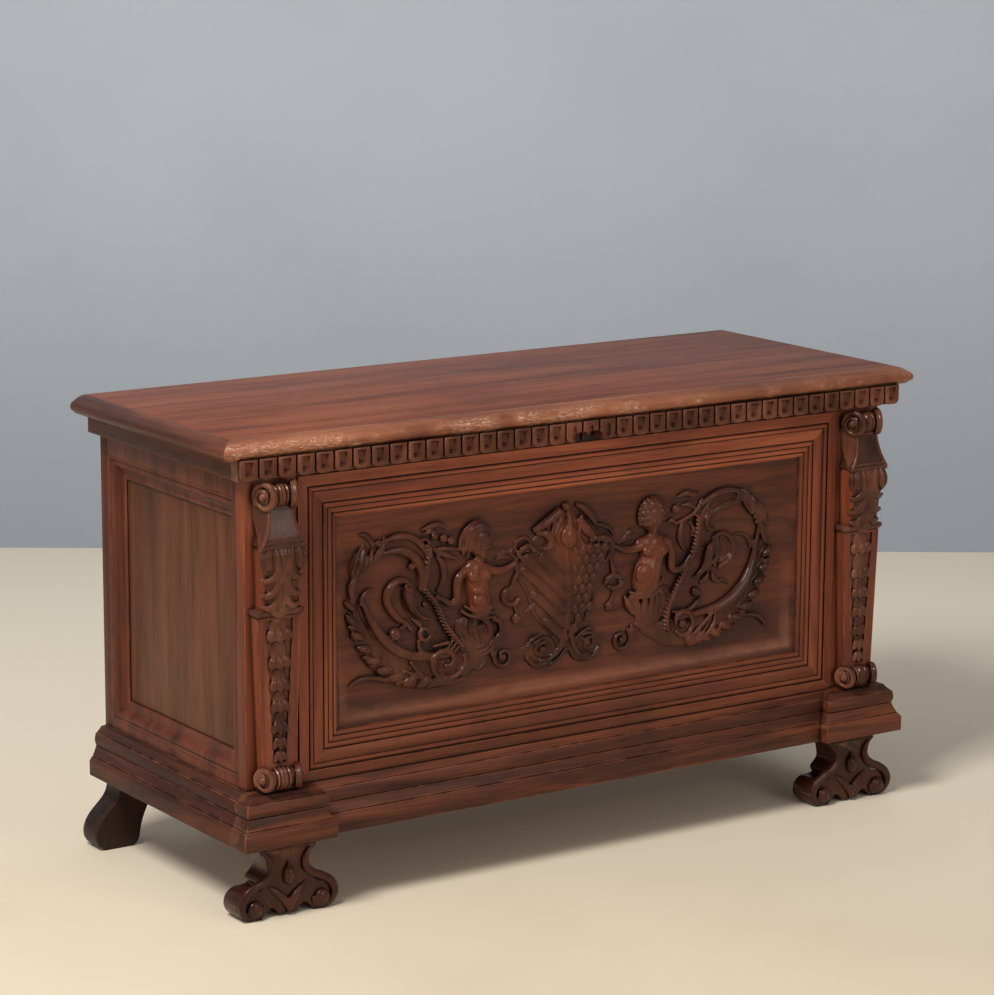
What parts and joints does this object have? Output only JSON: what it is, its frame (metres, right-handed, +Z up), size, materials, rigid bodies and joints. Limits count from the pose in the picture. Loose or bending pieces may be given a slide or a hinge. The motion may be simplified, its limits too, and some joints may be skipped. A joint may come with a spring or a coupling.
{
  "type": "chest",
  "caption": "Carved walnut chest with a hinged moulded lid, framed front panel in relief, scrolled corner pilasters, stepped plinth and scroll feet.",
  "frame": {"origin": "centre of the chest's overall footprint, on the floor", "axes": "+X along the chest towards the right end seen from the front, +Y from the carved front towards the back, +Z up"},
  "size_m": [1.3, 0.5115, 0.7283],
  "materials": {
    "walnut": "waxed, worn at the edges",
    "carved_walnut": "dark waxed carving",
    "plain_wood": "unpolished, age darkened",
    "iron": "dark forged iron"
  },
  "bodies": {
    "chest": {"back_bottom_rail": "plain_wood", "back_panel": "plain_wood", "back_stile_left": "plain_wood", "back_stile_right": "plain_wood", "back_top_rail": "plain_wood", "corner_posts": "plain_wood", "escutcheon": "iron", "floor_bearers": "plain_wood", "floor_board": "plain_wood", "front_bottom_rail": "walnut", "front_foot_left": "carved_walnut", "front_foot_right": "carved_walnut", "front_moulding_bottom": "walnut", "front_moulding_left": "walnut", "front_moulding_right": "walnut", "front_moulding_top": "walnut", "front_panel": "carved_walnut", "front_stile_left": "walnut", "front_stile_right": "walnut", "front_top_rail": "walnut", "hinge_case_leaf_left": "iron", "hinge_case_leaf_right": "iron", "hinge_case_screws": "iron", "hinge_pins": "iron", "lock_case": "iron", "lock_screws": "iron", "pilaster_cap_left": "carved_walnut", "pilaster_cap_right": "carved_walnut", "pilaster_shaft_left": "carved_walnut", "pilaster_shaft_right": "carved_walnut", "plinth_block_left": "walnut", "plinth_block_right": "walnut", "plinth_front": "walnut", "plinth_side_left": "walnut", "plinth_side_right": "walnut", "rear_foot_left": "walnut", "rear_foot_right": "walnut", "side_bottom_rail_left": "walnut", "side_bottom_rail_right": "walnut", "side_moulding_left": "walnut", "side_moulding_right": "walnut", "side_panel_left": "walnut", "side_panel_right": "walnut", "side_top_rail_left": "walnut", "side_top_rail_right": "walnut"},
    "lid": {"lid_board": "walnut", "lid_moulding_front": "walnut", "lid_moulding_side_left": "walnut", "lid_moulding_side_right": "walnut", "gadroon_strip": "carved_walnut", "rim_strip_left": "walnut", "rim_strip_right": "walnut", "lid_battens": "plain_wood", "hinge_lid_leaf_left": "iron", "hinge_lid_leaf_right": "iron", "hinge_lid_screws": "iron", "lock_link": "iron", "lock_link_screws": "iron"},
    "bolt": {"lock_bolt": "iron"}
  },
  "joints": [
    {"name": "lid_hinge", "type": "hinge", "parent": "chest", "child": "lid", "pos_m": [0, 0.25175, 0.70315], "axis": [-1, 0, 0], "range_deg": [0, 100]},
    {"name": "lock_bolt_slide", "type": "slide", "parent": "chest", "child": "bolt", "axis": [1, 0, 0], "range_m": [0, 0.01]}
  ]
}
